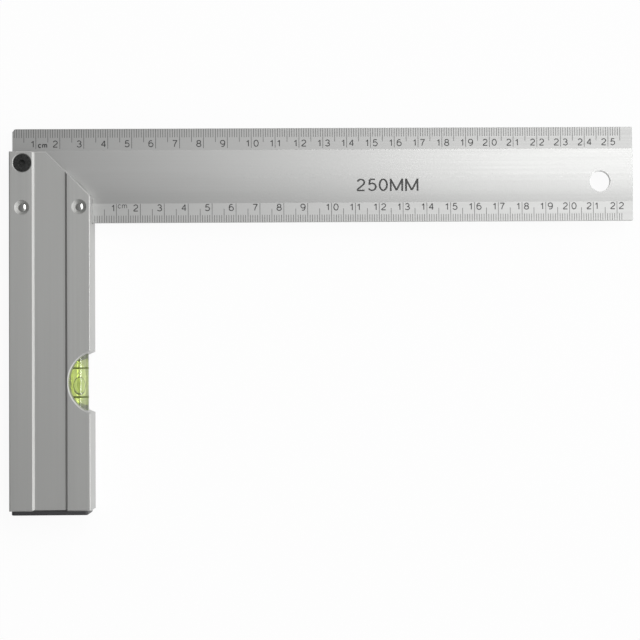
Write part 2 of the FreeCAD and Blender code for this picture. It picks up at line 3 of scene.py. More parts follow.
import bmesh
import bpy
from mathutils import Matrix, Vector


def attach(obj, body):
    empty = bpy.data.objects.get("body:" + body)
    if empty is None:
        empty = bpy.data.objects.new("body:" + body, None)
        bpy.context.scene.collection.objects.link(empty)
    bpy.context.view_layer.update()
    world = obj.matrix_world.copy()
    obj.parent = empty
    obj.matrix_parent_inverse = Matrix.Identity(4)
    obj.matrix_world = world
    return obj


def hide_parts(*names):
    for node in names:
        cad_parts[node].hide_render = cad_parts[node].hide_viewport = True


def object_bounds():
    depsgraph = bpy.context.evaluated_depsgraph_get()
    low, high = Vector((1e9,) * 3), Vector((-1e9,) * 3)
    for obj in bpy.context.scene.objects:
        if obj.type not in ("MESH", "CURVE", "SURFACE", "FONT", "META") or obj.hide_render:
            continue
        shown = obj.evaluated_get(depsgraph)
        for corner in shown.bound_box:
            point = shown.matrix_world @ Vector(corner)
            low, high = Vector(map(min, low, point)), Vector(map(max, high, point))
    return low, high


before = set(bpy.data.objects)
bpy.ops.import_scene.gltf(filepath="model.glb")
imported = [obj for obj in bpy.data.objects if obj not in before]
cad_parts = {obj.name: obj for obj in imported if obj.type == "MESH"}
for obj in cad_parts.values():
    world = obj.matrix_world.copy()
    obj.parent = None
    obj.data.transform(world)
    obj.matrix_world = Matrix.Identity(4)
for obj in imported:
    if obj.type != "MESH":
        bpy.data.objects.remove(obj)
cad_low, cad_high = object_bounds()

# Stock: a bar of extruded aluminium with a shallow panel down both faces, sawn to length, mitred
# and slotted at its head, bored for its rivets and cut half round for the vial, then anodised
# satin. Its form is the frame's own. Here its triangles are joined and its sawn edges are broken.
MM = 0.001
STOCK_GREY = (0.452, 0.454, 0.444)
STOCK_ROUGHNESS = 0.45
STOCK_METAL = 0.78
STOCK_FACE = 9.0 * MM
STOCK_BREAK = 0.44 * MM
STOCK_CORE = 5.0 * MM
DRAWN_EDGE = 5.0 * MM
SAWN_ANGLE = math.radians(60)
FLAT_AREA = 15 * MM ** 2
CREASE = math.radians(24)
TOUCHING = 0.0005 * MM
SAME_PLANE = math.radians(0.3)
STOCK_LINES = (2600, 9, 2600)
STOCK_CLOUDS = (30, 12, 30)


def new_material(name):
    """A material, its node tree and its shader."""
    made = bpy.data.materials.new(name)
    made.use_nodes = True
    return made, made.node_tree, made.node_tree.nodes["Principled BSDF"]


def add_node(tree, kind, values=None, **settings):
    """A node with its settings, and with plain values on its sockets."""
    node = tree.nodes.new(kind)
    for setting, value in settings.items():
        setattr(node, setting, value)
    for socket, value in (values or {}).items():
        node.inputs[socket].default_value = value
    return node


def grain(tree, waves, detail=4.0, seed=0.0):
    """Noise on the piece's own coordinates, with a number of waves per metre along each axis."""
    place = add_node(tree, "ShaderNodeTexCoord")
    spread = add_node(tree, "ShaderNodeMapping", {"Scale": waves, "Location": (seed, seed, seed)})
    noise = add_node(tree, "ShaderNodeTexNoise", {"Scale": 1.0, "Detail": detail})
    tree.links.new(place.outputs["Object"], spread.inputs["Vector"])
    tree.links.new(spread.outputs["Vector"], noise.inputs["Vector"])
    return noise.outputs["Fac"]


def between(tree, source, low, high, start=0.3, end=0.7):
    """A value that runs from low to high while the source runs from start to end."""
    limits = {"From Min": start, "From Max": end, "To Min": low, "To Max": high}
    node = add_node(tree, "ShaderNodeMapRange", limits)
    tree.links.new(source, node.inputs["Value"])
    return node.outputs["Result"]


def combine(tree, first, second, operation="MULTIPLY"):
    """Two values, multiplied or joined by another operation."""
    node = add_node(tree, "ShaderNodeMath", operation=operation)
    tree.links.new(first, node.inputs[0])
    tree.links.new(second, node.inputs[1])
    return node.outputs["Value"]


def tint(tree, colour, strength, shader, socket="Base Color"):
    """The colour, brightened and darkened by a value, on one of the shader's sockets."""
    node = add_node(tree, "ShaderNodeVectorMath", {0: colour}, operation="SCALE")
    tree.links.new(strength, node.inputs["Scale"])
    tree.links.new(node.outputs["Vector"], shader.inputs[socket])


def emboss(tree, source, depth, shader):
    """Relief of a real depth in metres on the shader."""
    node = add_node(tree, "ShaderNodeBump", {"Strength": 1.0, "Distance": depth})
    tree.links.new(source, node.inputs["Height"])
    tree.links.new(node.outputs["Normal"], shader.inputs["Normal"])


def drawn_aluminium(name, colour, metal, roughness, lines, clouds):
    """Satin anodised aluminium with fine lines along the way that it was drawn, and faint clouding.

    The oxide skin scatters some light, so the metal's share is a little under one.
    """
    made, tree, shader = new_material(name)
    shader.inputs["Metallic"].default_value = metal
    fine = grain(tree, lines, detail=6.0)
    broad = grain(tree, clouds, detail=2.0, seed=3.0)
    shade = combine(tree, between(tree, fine, 0.98, 1.02), between(tree, broad, 0.98, 1.02))
    tint(tree, colour, shade, shader)
    blur = between(tree, fine, roughness - 0.03, roughness + 0.03)
    tree.links.new(blur, shader.inputs["Roughness"])
    emboss(tree, fine, 0.0015 * MM, shader)
    return made, tree, shader, shade


def joined_copy(node):
    """The mesh of a CAD node as a bmesh, with its loose triangles joined along their edges."""
    bm = bmesh.new()
    bm.from_mesh(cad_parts[node].data)
    bmesh.ops.remove_doubles(bm, verts=bm.verts, dist=TOUCHING)
    bmesh.ops.dissolve_limit(bm, angle_limit=SAME_PLANE, verts=bm.verts, edges=bm.edges)
    return bm


def sawn_edges(bm):
    """The sharp edges between the stock's two broad faces and the cuts straight through them.

    The long edges along the bar are drawn, not sawn, and those of the slot lie inside.
    """
    found = []
    for edge in bm.edges:
        a, b = (vert.co for vert in edge.verts)
        inside = max(abs(a.z), abs(b.z)) < STOCK_CORE
        drawn = abs(b.y - a.y) > max(DRAWN_EDGE, 0.999 * edge.calc_length())
        if inside or drawn or not edge.is_manifold or edge.calc_face_angle() < SAWN_ANGLE:
            continue
        flat, wall = sorted(edge.link_faces, key=lambda face: abs(face.normal.z), reverse=True)
        if abs(flat.normal.z) > 0.6 and abs(wall.normal.z) < 0.1:
            found.append(edge)
    return found


def round_edges(bm, edges, size, steps):
    """A round, or with one step a flat bevel, along the edges."""
    bmesh.ops.bevel(
        bm, geom=edges, offset=size, segments=steps, profile=0.5, affect="EDGES", material=-1,
        clamp_overlap=False,
    )


def make_stock():
    """The stock's form, with its sawn edges broken by a file, inside its two faces."""
    bm = joined_copy("stock")
    round_edges(bm, sawn_edges(bm), STOCK_BREAK, 1)
    for vert in bm.verts:
        vert.co.z = max(-STOCK_FACE, min(STOCK_FACE, vert.co.z))
    return bm


def finish_piece(name, bm, materials, crease=CREASE, node=None):
    """A piece from its bmesh: shaded round below the crease angle, finished, named and riding."""
    mesh = bpy.data.meshes.new(name)
    bm.to_mesh(mesh)
    bm.free()
    mesh.shade_smooth()
    mesh.set_sharp_from_angle(angle=crease)
    for made in materials:
        mesh.materials.append(made)
    piece = bpy.data.objects.new(name, mesh)
    bpy.context.scene.collection.objects.link(piece)
    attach(piece, "root")
    if node:
        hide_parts(node)
    return piece


def keep_flat(mesh):
    """The broad flat faces keep their own shade where they run into a small round."""
    for face in mesh.polygons:
        if face.area > FLAT_AREA:
            for corner in face.loop_indices:
                mesh.edges[mesh.loops[corner].edge_index].use_edge_sharp = True


stock_metal = drawn_aluminium(
    "stock_satin", STOCK_GREY, STOCK_METAL, STOCK_ROUGHNESS, STOCK_LINES, STOCK_CLOUDS
)[0]
stock = finish_piece("stock_bar", make_stock(), [stock_metal], node="stock")
keep_flat(stock.data)

# Blade: a strip of drawn aluminium, flat along both edges and crowned between them, blanked to
# length with a hanging hole, then anodised. It sits in the stock's slot. The flat bands are etched
# matter than the crown to carry the scales. Their shades are painted: the outer band is painted
# darker and the inner band lighter than the crown, as the light falls on them.
BLADE_GREY = (0.420, 0.421, 0.416)
BLADE_METAL = 0.92
BLADE_ROUGHNESS = 0.45
BAND_EXTRA_ROUGHNESS = 0.05
BLADE_LINES = (9, 3000, 3000)
BLADE_CLOUDS = (14, 40, 40)
# Painted shade and light on the bands: the outer band darker than the crown, the inner band lighter, as
# the light falls on them.
OUTER_BAND_PAINTED_SHADE = 0.94
INNER_BAND_PAINTED_LIGHT = 1.07
BLADE_LEFT = -33.3 * MM
BLADE_RIGHT = 226.7 * MM
BLADE_WIDTH = 39.5 * MM
BAND_HALF = 0.8 * MM
CROWN_HALF = 1.4 * MM
CROWN_FOOT = 8.1 * MM
CROWN_BROW = 30.4 * MM
CROWN_STEPS = 32
CORNER_CUT = 1.2 * MM
TIP_ROUND = 0.3 * MM
BLADE_EDGE = 0.1 * MM
BLADE_EDGE_ANGLE = math.radians(35)
BLADE_CREASE = math.radians(4.5)
HANG_HOLE = (212.9 * MM, 16.6 * MM)
HANG_RADIUS = 4.35 * MM
RIVET_HOLE_RADIUS = 1.65 * MM
SCREW_SLACK_RADIUS = 2.6 * MM
RIVETS = {"rivet_outer": (-28.2 * MM, 5.9 * MM), "rivet_inner": (-4.6 * MM, 6.1 * MM)}
SCREW = (-28.1 * MM, 24.4 * MM)
DRILL_LENGTH = 10 * MM


def edges_along(bm, axis, test):
    """The edges that run along an axis and whose middles pass the test."""
    found = []
    for edge in bm.edges:
        a, b = (vert.co for vert in edge.verts)
        run = (b - a).normalized()
        if abs(run[axis]) > 0.999 and test((a + b) / 2):
            found.append(edge)
    return found


def sharp_edges(bm, angle):
    """The edges at which the surface turns by more than the angle."""
    return [edge for edge in bm.edges if edge.is_manifold and edge.calc_face_angle() > angle]


def arch_radius(half, rise):
    """The radius of an arch that rises by so much over half its span."""
    return (half ** 2 + rise ** 2) / (2 * rise)


CROWN_MIDDLE = (CROWN_FOOT + CROWN_BROW) / 2
CROWN_REACH = (CROWN_BROW - CROWN_FOOT) / 2
CROWN_RADIUS = arch_radius(CROWN_REACH, CROWN_HALF - BAND_HALF)


def make_blade_strip():
    """The strip's section, with its crowns spun about their distant centres, drawn out to length."""
    bm = bmesh.new()
    sweep = 2 * math.asin(CROWN_REACH / CROWN_RADIUS)
    foot = bm.verts.new((BLADE_LEFT, CROWN_FOOT, BAND_HALF))
    axis_point = Vector((BLADE_LEFT, CROWN_MIDDLE, CROWN_HALF - CROWN_RADIUS))
    bmesh.ops.spin(
        bm, geom=[foot], cent=axis_point, axis=(1, 0, 0), angle=-sweep, steps=CROWN_STEPS
    )
    bm.verts.ensure_lookup_table()
    brow = max(bm.verts, key=lambda vert: vert.co.y)
    inner = bm.verts.new((BLADE_LEFT, 0, BAND_HALF))
    outer = bm.verts.new((BLADE_LEFT, BLADE_WIDTH, BAND_HALF))
    bm.edges.new((inner, foot))
    bm.edges.new((brow, outer))
    front = bm.verts[:] + bm.edges[:]
    back = bmesh.ops.mirror(bm, geom=front, matrix=Matrix(), merge_dist=-1, axis="Z")["geom"]
    behind = [item for item in back if isinstance(item, bmesh.types.BMVert)]
    bm.edges.new((inner, min(behind, key=lambda vert: vert.co.y)))
    bm.edges.new((outer, max(behind, key=lambda vert: vert.co.y)))
    section = bmesh.ops.contextual_create(bm, geom=bm.edges[:])["faces"]
    drawn = bmesh.ops.extrude_face_region(bm, geom=section)["geom"]
    far = [item for item in drawn if isinstance(item, bmesh.types.BMVert)]
    bmesh.ops.translate(bm, verts=far, vec=(BLADE_RIGHT - BLADE_LEFT, 0, 0))
    bmesh.ops.recalc_face_normals(bm, faces=bm.faces)
    near_corner = edges_along(bm, 2, lambda at: at.x < 0 and at.y > BLADE_WIDTH - MM)
    round_edges(bm, near_corner, CORNER_CUT, 1)
    tips = edges_along(bm, 2, lambda at: at.x > BLADE_RIGHT - MM)
    round_edges(bm, tips, TIP_ROUND, 4)
    round_edges(bm, sharp_edges(bm, BLADE_EDGE_ANGLE), BLADE_EDGE, 2)
    return bm


def evaluated_mesh(thing):
    """The finished mesh of an object, with its modifiers or its bevelled curves worked out."""
    bpy.context.view_layer.update()
    return bpy.data.meshes.new_from_object(thing.evaluated_get(bpy.context.evaluated_depsgraph_get()))


def cut_with(piece, bm):
    """Takes a closed shape out of a piece, and keeps the result as the piece's own mesh."""
    mesh = bpy.data.meshes.new("cutter")
    bm.to_mesh(mesh)
    bm.free()
    cutter = bpy.data.objects.new("cutter", mesh)
    bpy.context.scene.collection.objects.link(cutter)
    cut = piece.modifiers.new("cut", "BOOLEAN")
    cut.operation = "DIFFERENCE"
    cut.solver = "EXACT"
    cut.object = cutter
    shaped = evaluated_mesh(piece)
    piece.modifiers.clear()
    piece.data = shaped
    bpy.data.objects.remove(cutter)


def drill(piece, holes, depth, steps=96):
    """Round holes through a piece, each a place and a radius, centred on the blade's mid-plane."""
    bm = bmesh.new()
    for (x, y), radius in holes:
        bmesh.ops.create_cone(
            bm, cap_ends=True, segments=steps, radius1=radius, radius2=radius, depth=depth,
            matrix=Matrix.Translation((x, y, 0)),
        )
    cut_with(piece, bm)


def band_of(tree, low, high, blur=0.05 * MM):
    """1 where the piece's Y lies between two heights, 0 elsewhere."""
    place = add_node(tree, "ShaderNodeTexCoord")
    split = add_node(tree, "ShaderNodeSeparateXYZ")
    tree.links.new(place.outputs["Object"], split.inputs["Vector"])
    above = between(tree, split.outputs["Y"], 0.0, 1.0, start=low - blur, end=low + blur)
    below = between(tree, split.outputs["Y"], 1.0, 0.0, start=high - blur, end=high + blur)
    return combine(tree, above, below)


def make_blade_metal():
    """The blade's satin aluminium, with a duller etched skin on both bands and painted shade on them:
    the outer band painted darker, the inner one lighter.
    """
    made, tree, shader, shade = drawn_aluminium(
        "blade_satin", BLADE_GREY, BLADE_METAL, BLADE_ROUGHNESS, BLADE_LINES, BLADE_CLOUDS
    )
    outer_band = band_of(tree, CROWN_BROW, 1.0)
    inner_band = band_of(tree, -1.0, CROWN_FOOT)
    # Painted light and shade on the two bands: darker on the outer band, lighter on the inner.
    painted_band_shade = combine(
        tree,
        between(tree, outer_band, 1.0, OUTER_BAND_PAINTED_SHADE, start=0.0, end=1.0),
        between(tree, inner_band, 1.0, INNER_BAND_PAINTED_LIGHT, start=0.0, end=1.0),
    )
    tint(tree, BLADE_GREY, combine(tree, shade, painted_band_shade), shader)
    bands = combine(tree, outer_band, inner_band, "ADD")
    rougher = between(tree, bands, 0.0, BAND_EXTRA_ROUGHNESS, start=0.0, end=1.0)
    blur = shader.inputs["Roughness"].links[0].from_socket
    tree.links.new(combine(tree, blur, rougher, "ADD"), shader.inputs["Roughness"])
    return made


blade = finish_piece(
    "blade_strip", make_blade_strip(), [make_blade_metal()],
    crease=BLADE_CREASE, node="blade",
)
holes = [(HANG_HOLE, HANG_RADIUS), (SCREW, SCREW_SLACK_RADIUS)]
for spot in RIVETS.values():
    holes.append((spot, RIVET_HOLE_RADIUS))
drill(blade, holes, DRILL_LENGTH)

# Scales: dark paint wiped into the engraved marks and printed figures, in centimetres. The outer
# scale starts at the stock's outer side, the inner one at the inside corner. Millimetre marks are
# the shortest, fives are longer and centimetres the longest. Both run from the blade's edges.
MARK_WIDTH = 0.20 * MM
MARK_DEPTH = 0.06 * MM
MARK_PROUD = 0.004 * MM
MARK_START = 0.15 * MM
FIGURE_HEIGHT = 3.0 * MM
FIGURE_WIDENING = 1.27
FIGURE_STROKE = 0.40 * MM
FIGURE_THICKNESS = 0.01 * MM
DIGIT_BEFORE_MARK = 0.88 * MM
TWO_BEFORE_MARK = 0.76 * MM
OUTER_SCALE = {
    "name": "outer", "zero": -33.5 * MM, "marks": 255, "edge": BLADE_WIDTH, "inward": -1,
    "reach": (3.7 * MM, 5.7 * MM, 8.3 * MM), "figures": 25, "baseline": 31.7 * MM,
    "one_before": 0.97 * MM, "after": 0.98 * MM,
    "unit": (10.85 * MM, 31.5 * MM), "unit_stroke": 0.48 * MM,
}
INNER_SCALE = {
    "name": "inner", "zero": 0.0, "marks": 222, "edge": 0.0, "inward": 1,
    "reach": (3.1 * MM, 5.7 * MM, 8.0 * MM), "figures": 22, "baseline": 4.75 * MM,
    "one_before": 1.12 * MM, "after": 0.80 * MM,
    "unit": (10.6 * MM, 6.05 * MM), "unit_stroke": 0.27 * MM,
}
SIZE_FIGURE = "250MM"
SIZE_FIGURE_AT = (110.4 * MM, 12.8 * MM)
SIZE_FIGURE_HEIGHT = 5.27 * MM
SIZE_FIGURE_STROKE = 0.64 * MM
SIZE_FIGURE_WIDTH = 26.0 * MM
SIZE_FIGURE_SLICES = 12
INK_BLACK = (0.045, 0.045, 0.045)


def bow(centre_x, centre_y, wide, tall, start, end, steps=None):
    """Points of an oval from one angle in degrees to another, about 20 degrees apart if not told."""
    steps = steps or max(4, round(abs(end - start) / 20))
    points = []
    for step in range(steps + 1):
        angle = math.radians(start + (end - start) * step / steps)
        points.append((centre_x + wide * math.cos(angle), centre_y + tall * math.sin(angle)))
    return points


# Each character is drawn with a round pen, as strokes in a frame 1 tall. A figure is 0.54 wide.
CHARACTERS = {
    "0": [bow(0.27, 0.50, 0.27, 0.50, 90, 450)],
    "1": [[(0.04, 0.74), (0.15, 0.80), (0.24, 0.90), (0.27, 1.0)], [(0.27, 1.0), (0.27, 0.0)]],
    "2": [bow(0.27, 0.72, 0.25, 0.28, 165, -38) + [(0.05, 0.13), (0.01, 0.0)],
          [(0.0, 0.0), (0.54, 0.0)]],
    "3": [bow(0.26, 0.75, 0.23, 0.25, 155, -88) + bow(0.27, 0.26, 0.27, 0.26, 88, -158)],
    "4": [[(0.41, 0.0), (0.41, 1.0)], [(0.41, 1.0), (0.0, 0.30)], [(0.0, 0.30), (0.54, 0.30)]],
    "5": [[(0.49, 1.0), (0.12, 1.0)], [(0.12, 1.0), (0.06, 0.50)],
          bow(0.27, 0.32, 0.27, 0.32, 140, -155)],
    "6": [bow(0.28, 0.50, 0.28, 0.50, 62, 180) + bow(0.27, 0.32, 0.27, 0.32, 180, -180)],
    "7": [[(0.0, 1.0), (0.54, 1.0)], [(0.54, 1.0), (0.36, 0.66), (0.25, 0.34), (0.19, 0.0)]],
    "8": [bow(0.27, 0.76, 0.22, 0.24, 270, -90), bow(0.27, 0.26, 0.27, 0.26, 90, 450)],
    "9": [bow(0.26, 0.50, 0.28, 0.50, -118, 0) + bow(0.27, 0.68, 0.27, 0.32, 0, 360)],
    "M": [[(0.0, -0.06), (0.0, 1.06)], [(0.0, 1.0), (0.42, 0.0)], [(0.42, 0.0), (0.84, 1.0)],
          [(0.84, 1.06), (0.84, -0.06)]],
    "c": [bow(0.22, 0.27, 0.22, 0.27, 42, 318)],
    "m": [[(0.0, 0.0), (0.0, 0.52)], bow(0.17, 0.36, 0.17, 0.16, 180, 0) + [(0.34, 0.0)],
          bow(0.51, 0.36, 0.17, 0.16, 180, 0) + [(0.68, 0.0)]],
}
SPACE_BETWEEN = 0.21


def make_ink(name, colour):
    """Dark, slightly worn marking paint."""
    made, tree, shader = new_material(name)
    wear = grain(tree, (900, 900, 900), detail=5.0)
    tint(tree, colour, between(tree, wear, 0.7, 1.4), shader)
    tree.links.new(between(tree, wear, 0.45, 0.7), shader.inputs["Roughness"])
    return made


def add_block(bm, low, high):
    """A plain block between two corners."""
    low = Vector(low)
    high = Vector(high)
    size = Matrix.Diagonal((*(high - low), 1.0))
    bmesh.ops.create_cube(bm, size=1.0, matrix=Matrix.Translation((low + high) / 2) @ size)


def join_into(bm, part):
    """Adds one bmesh to another."""
    mesh = bpy.data.meshes.new("joined")
    part.to_mesh(mesh)
    part.free()
    bm.from_mesh(mesh)
    bpy.data.meshes.remove(mesh)


def make_marks(scale):
    """One slim bar of paint for each millimetre, reaching in from the blade's edge."""
    bm = bmesh.new()
    unit, five, ten = scale["reach"]
    for mark in range(1, scale["marks"] + 1):
        reach = unit
        if mark % 5 == 0:
            reach = ten if mark % 10 == 0 else five
        x = scale["zero"] + mark * MM
        ends = sorted(scale["edge"] + scale["inward"] * y for y in (MARK_START, reach))
        low = (x - MARK_WIDTH / 2, ends[0], BAND_HALF - MARK_DEPTH)
        high = (x + MARK_WIDTH / 2, ends[1], BAND_HALF + MARK_PROUD)
        add_block(bm, low, high)
    return bm


def lettering(text, height, stroke, widening=1.0):
    """Characters drawn with a pen and flattened to a film of paint, lower left at the origin."""
    curve = bpy.data.curves.new("lettering", "CURVE")
    curve.dimensions = "3D"
    curve.bevel_depth = stroke / 2
    curve.bevel_resolution = 1
    curve.use_fill_caps = True
    curve.twist_mode = "Z_UP"
    scale = height - stroke
    start = stroke / 2
    for character in text:
        reach = 0
        for points in CHARACTERS[character]:
            line = curve.splines.new("POLY")
            line.points.add(len(points) - 1)
            for knot, (x, y) in zip(line.points, points):
                knot.co = (start + x * scale * widening, stroke / 2 + y * scale, 0, 1)
                reach = max(reach, x)
        start += (reach + SPACE_BETWEEN) * scale * widening + stroke / 2
    drawn = bpy.data.objects.new("lettering", curve)
    bpy.context.scene.collection.objects.link(drawn)
    mesh = evaluated_mesh(drawn)
    bpy.data.objects.remove(drawn)
    bm = bmesh.new()
    bm.from_mesh(mesh)
    bpy.data.meshes.remove(mesh)
    bmesh.ops.scale(bm, verts=bm.verts, vec=(1, 1, FIGURE_THICKNESS / stroke))
    return bm


def width_of(bm):
    """How wide a piece of lettering is."""
    across = [vert.co.x for vert in bm.verts]
    return max(across) - min(across)


def add_lettering(bm, part, x, y, z):
    """Lettering joined to a mesh, with its left end and baseline at a place on the blade."""
    left = min(vert.co.x for vert in part.verts)
    bmesh.ops.translate(part, verts=part.verts, vec=(x - left, y, z))
    join_into(bm, part)


def make_figures(scale):
    """The centimetre figures of one scale, with its unit after the first mark.

    One digit stands just left of its mark, and two digits stand on either side of theirs.
    """
    bm = bmesh.new()
    z = BAND_HALF + MARK_PROUD
    for number in range(1, scale["figures"] + 1):
        mark = scale["zero"] + number * 10 * MM
        digits = []
        for digit in str(number):
            digits.append(lettering(digit, FIGURE_HEIGHT, FIGURE_STROKE, FIGURE_WIDENING))
        gap = TWO_BEFORE_MARK
        if number < 20:
            gap = DIGIT_BEFORE_MARK if number < 10 else scale["one_before"]
        add_lettering(bm, digits[0], mark - gap - width_of(digits[0]), scale["baseline"], z)
        if number > 9:
            add_lettering(bm, digits[1], mark + scale["after"], scale["baseline"], z)
    x, y = scale["unit"]
    unit = lettering("cm", FIGURE_HEIGHT, scale["unit_stroke"])
    add_lettering(bm, unit, scale["zero"] + x, y, z)
    return bm


def make_size_figure():
    """The blade's length in millimetres, printed along the crown and bent to lie on it."""
    bm = lettering(SIZE_FIGURE, SIZE_FIGURE_HEIGHT, SIZE_FIGURE_STROKE)
    stretch = SIZE_FIGURE_WIDTH / width_of(bm)
    bmesh.ops.scale(bm, verts=bm.verts, vec=(stretch, 1, 1))
    for step in range(1, SIZE_FIGURE_SLICES):
        height = SIZE_FIGURE_HEIGHT * step / SIZE_FIGURE_SLICES
        everything = bm.verts[:] + bm.edges[:] + bm.faces[:]
        bmesh.ops.bisect_plane(bm, geom=everything, plane_co=(0, height, 0), plane_no=(0, 1, 0))
    bmesh.ops.translate(bm, verts=bm.verts, vec=(*SIZE_FIGURE_AT, 0))
    for vert in bm.verts:
        drop = CROWN_RADIUS - math.sqrt(CROWN_RADIUS ** 2 - (vert.co.y - CROWN_MIDDLE) ** 2)
        vert.co.z += CROWN_HALF - drop + MARK_PROUD
    return bm


ink = make_ink("marking_ink", INK_BLACK)
for scale in (OUTER_SCALE, INNER_SCALE):
    finish_piece(scale["name"] + "_scale_marks", make_marks(scale), [ink])
    finish_piece(scale["name"] + "_scale_figures", make_figures(scale), [ink])
finish_piece("size_figure", make_size_figure(), [ink])

# Rivets: bright plated steel, through the stock and the blade. The head is countersunk flush with
# the back. In front each is peened to a low dome inside its own countersink.
RIVET_SHANK = 1.6 * MM
RIVET_BACK_RADIUS = 3.1 * MM
RIVET_FOOT = 7.55 * MM
RIVET_DOME = 0.3 * MM
RIVET_ROLL = 0.1 * MM
RIVET_COLOUR = (0.80, 0.80, 0.78)
TURN_STEPS = 64


def lathe(profile, steps=TURN_STEPS, axis=(0, 0, 1), centre=(0, 0, 0)):
    """A turned solid from its half section: radii and heights along a line that closes on itself
    or runs from the axis back to it.
    """
    bm = bmesh.new()
    verts = [bm.verts.new((radius, 0, height)) for radius, height in profile]
    for before, after in zip(verts, verts[1:]):
        bm.edges.new((before, after))
    bmesh.ops.spin(
        bm, geom=bm.verts[:] + bm.edges[:], cent=(0, 0, 0), axis=(0, 0, 1),
        angle=2 * math.pi, steps=steps, use_merge=True,
    )
    bmesh.ops.remove_doubles(bm, verts=bm.verts, dist=TOUCHING)
    bmesh.ops.recalc_face_normals(bm, faces=bm.faces)
    turn = Vector((0, 0, 1)).rotation_difference(Vector(axis)).to_matrix()
    bmesh.ops.rotate(bm, verts=bm.verts, cent=(0, 0, 0), matrix=turn)
    bmesh.ops.translate(bm, verts=bm.verts, vec=centre)
    return bm


def make_rivet_metal():
    """Bright plate, faintly speckled."""
    made, tree, shader = new_material("bright_plate")
    shader.inputs["Metallic"].default_value = 1.0
    spots = grain(tree, (700, 700, 700), detail=3.0)
    tint(tree, RIVET_COLOUR, between(tree, spots, 0.92, 1.06), shader)
    tree.links.new(between(tree, spots, 0.06, 0.11), shader.inputs["Roughness"])
    emboss(tree, spots, 0.002 * MM, shader)
    return made


def make_rivet(place):
    """The flush head, the shank and the peened dome, with its rim rolled under."""
    sphere = arch_radius(RIVET_SHANK, RIVET_DOME)
    edge = math.degrees(math.asin((sphere - RIVET_DOME) / sphere))
    dome = bow(0, RIVET_FOOT + RIVET_DOME - sphere, sphere, sphere, edge, 90, steps=10)
    profile = [
        (0, -STOCK_FACE),
        (RIVET_BACK_RADIUS, -STOCK_FACE),
        (RIVET_SHANK, -STOCK_FACE + RIVET_BACK_RADIUS - RIVET_SHANK),
        (RIVET_SHANK, RIVET_FOOT - RIVET_ROLL),
    ]
    return lathe(profile + dome, centre=(*place, 0))


rivet_metal = make_rivet_metal()
for node, place in RIVETS.items():
    finish_piece(node + "_plated", make_rivet(place), [rivet_metal], node=node)

# Squaring screw: a black oxide steel screw, countersunk, with a hexagon socket. It clamps the
# stock's cheeks on the blade once the blade has been set square.
SCREW_TOP = 8.8 * MM
SCREW_HEAD = 3.6 * MM
SCREW_RIM = 0.25 * MM
SCREW_SHANK = 2.0 * MM
SCREW_LENGTH = 16.0 * MM
SCREW_KEY = 2.5 * MM
SCREW_KEY_DEPTH = 1.4 * MM
SCREW_EASE = 0.12 * MM
OXIDE_COLOUR = (0.030, 0.031, 0.030)


def make_black_oxide():
    """Black oxide over turned steel, a little greasy, worn paler in specks."""
    made, tree, shader = new_material("black_oxide")
    shader.inputs["Metallic"].default_value = 0.6
    specks = grain(tree, (1500, 1500, 1500), detail=5.0)
    tint(tree, OXIDE_COLOUR, between(tree, specks, 0.6, 1.5), shader)
    tree.links.new(between(tree, specks, 0.3, 0.45), shader.inputs["Roughness"])
    emboss(tree, specks, 0.01 * MM, shader)
    return made


def make_screw():
    """The screw without its socket."""
    shoulder = SCREW_TOP - SCREW_RIM
    tip = SCREW_TOP - SCREW_LENGTH
    profile = [
        (0, tip),
        (SCREW_SHANK - SCREW_EASE, tip),
        (SCREW_SHANK, tip + SCREW_EASE),
        (SCREW_SHANK, shoulder - SCREW_HEAD + SCREW_SHANK),
        (SCREW_HEAD, shoulder),
        (SCREW_HEAD, SCREW_TOP - SCREW_EASE),
        (SCREW_HEAD - SCREW_EASE, SCREW_TOP),
        (0, SCREW_TOP),
    ]
    return lathe(profile, centre=(*SCREW, 0))


def socket_cutter():
    """A hexagonal bar, standing half above the screw's head."""
    bm = bmesh.new()
    corner = SCREW_KEY / math.sqrt(3)
    middle = Vector((*SCREW, SCREW_TOP))
    bmesh.ops.create_cone(
        bm, cap_ends=True, segments=6, radius1=corner, radius2=corner, depth=2 * SCREW_KEY_DEPTH,
        matrix=Matrix.Translation(middle) @ Matrix.Rotation(math.radians(90), 4, "Z"),
    )
    return bm


screw = finish_piece(
    "squaring_screw_black", make_screw(), [make_black_oxide()], node="squaring_screw"
)
cut_with(screw, socket_cutter())

# End cap: moulded black plastic, pushed into the sawn foot of the stock. Its flange has rounded
# corners and an eased rim, and a hollow tongue grips the middle channel.
CAP_LOW = Vector((-32.6, -121.0, -8.5)) * MM
CAP_HIGH = Vector((-1.2, -119.3, 8.5)) * MM
CAP_CORNER = 1.2 * MM
CAP_EASE = 0.45 * MM
TONGUE_LOW = Vector((-22.2, -119.3, -6.1)) * MM
TONGUE_HIGH = Vector((-11.3, -110.3, 6.1)) * MM
TONGUE_WALL = 1.6 * MM
TONGUE_CORNER = 1.0 * MM
TONGUE_FLOOR = 0.5 * MM
RIM_ANGLE = math.radians(60)
CAP_COLOUR = (0.030, 0.030, 0.032)


def make_cap_plastic():
    """Black moulded plastic with a fine spark-eroded grain."""
    made, tree, shader = new_material("cap_black")
    texture = grain(tree, (3500, 3500, 3500), detail=3.0)
    tint(tree, CAP_COLOUR, between(tree, texture, 0.8, 1.25), shader)
    tree.links.new(between(tree, texture, 0.42, 0.58), shader.inputs["Roughness"])
    emboss(tree, texture, 0.02 * MM, shader)
    return made


def make_flange():
    """The rounded flange, with an eased rim on its outside."""
    bm = bmesh.new()
    add_block(bm, CAP_LOW, CAP_HIGH)
    round_edges(bm, edges_along(bm, 1, lambda at: True), CAP_CORNER, 8)
    rim = []
    for edge in sharp_edges(bm, RIM_ANGLE):
        if max(vert.co.y for vert in edge.verts) < CAP_LOW.y + CAP_EASE:
            rim.append(edge)
    round_edges(bm, rim, CAP_EASE, 4)
    return bm


